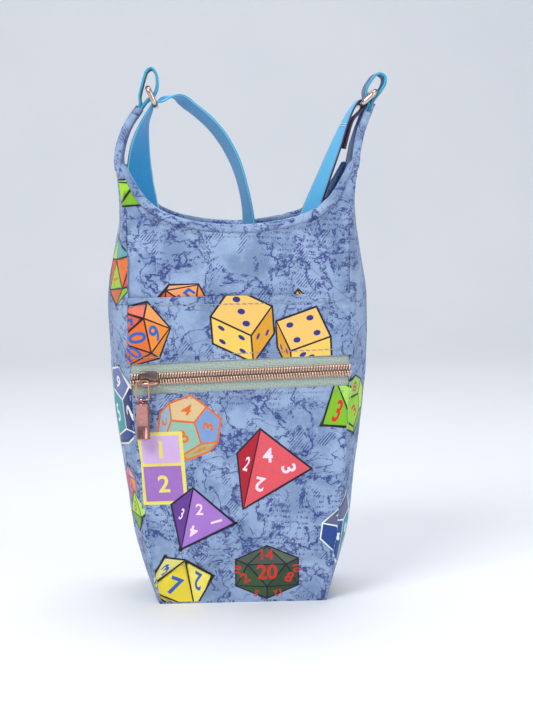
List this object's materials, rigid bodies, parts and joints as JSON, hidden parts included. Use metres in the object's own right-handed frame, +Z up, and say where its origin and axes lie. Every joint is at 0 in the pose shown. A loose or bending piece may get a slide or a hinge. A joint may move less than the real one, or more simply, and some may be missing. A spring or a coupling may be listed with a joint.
{
  "type": "dice bag",
  "caption": "Small boxed fabric bag with an open scooped top, front zip pocket, slip pocket, webbing loops, metal rings and a stowed shoulder strap.",
  "frame": {"origin": "middle of the base's underside, on the surface that the bag stands on", "axes": "+Z up, -Y out of the front pocket's face, +X to the right seen from the front"},
  "size_m": [0.1425, 0.0758, 0.2702],
  "materials": {
    "cotton_print": "light steel-blue printed quilting cotton, plain weave",
    "cotton_lining": "plain light-blue cotton lining",
    "interlining": "off-white sewn-in foam interlining",
    "board": "stiff white base board",
    "zip_tape": "grey-green woven zip tape",
    "zip_coil": "rose-gold metallised nylon coil",
    "slider_metal": "dark polished gunmetal with a copper-coloured bridge",
    "copper_metal": "polished copper-rose metal",
    "ring_metal": "polished pale copper wire",
    "webbing": "turquoise polypropylene webbing",
    "adjuster_metal": "pale copper-coloured pressed metal"
  },
  "bodies": {
    "bag": {"front_panel": "cotton_print", "back_panel": "cotton_print", "gusset_left": "cotton_print", "gusset_right": "cotton_print", "base_panel": "cotton_print", "pocket_lower_panel": "cotton_print", "pocket_strip": "cotton_print", "pocket_lining": "cotton_lining", "interlining_front": "interlining", "interlining_back": "interlining", "interlining_left": "interlining", "interlining_right": "interlining", "lining_front": "cotton_lining", "lining_back": "cotton_lining", "lining_left": "cotton_lining", "lining_right": "cotton_lining", "lining_base": "cotton_lining", "base_board": "board", "zip_tape_upper": "zip_tape", "zip_tape_lower": "zip_tape", "zip_coil_upper": "zip_coil", "zip_coil_lower": "zip_coil", "webbing_loop_left": "webbing", "webbing_loop_right": "webbing", "strap_left_run": "webbing", "strap_right_run": "webbing", "strap_stowed": "webbing"},
    "slider": {"zip_slider": "slider_metal"},
    "bail": {"pull_bail": "copper_metal"},
    "pull": {"pull_tube": "copper_metal"},
    "ring_left": {"ring_left": "ring_metal"},
    "ring_right": {"ring_right": "ring_metal"},
    "adjuster": {"strap_adjuster": "adjuster_metal"}
  },
  "joints": [
    {"name": "zip_slide", "type": "slide", "parent": "bag", "child": "slider", "axis": [0.9996, 0, 0.03], "range_m": [0, 0.091]},
    {"name": "bail_swing", "type": "hinge", "parent": "slider", "child": "bail", "pos_m": [-0.04855, -0.0382, 0.11454], "axis": [0, 1, 0], "range_deg": [-48, 90]},
    {"name": "pull_lift", "type": "hinge", "parent": "bail", "child": "pull", "pos_m": [-0.04855, -0.0382, 0.10644], "axis": [-1, 0, 0], "range_deg": [0, 90]},
    {"name": "ring_left_swing", "type": "hinge", "parent": "bag", "child": "ring_left", "pos_m": [-0.0439, 0, 0.2595], "axis": [0, -1, 0], "range_deg": [-15, 45], "deforming": ["strap_left_run"]},
    {"name": "ring_right_swing", "type": "hinge", "parent": "bag", "child": "ring_right", "pos_m": [0.0702, 0, 0.2568], "axis": [0, 1, 0], "range_deg": [-8, 45], "deforming": ["strap_right_run"]},
    {"name": "adjuster_slide", "type": "slide", "parent": "bag", "child": "adjuster", "axis": [0, 0, 1], "range_m": [-0.035, 0.025], "deforming": ["strap_left_run"]}
  ]
}
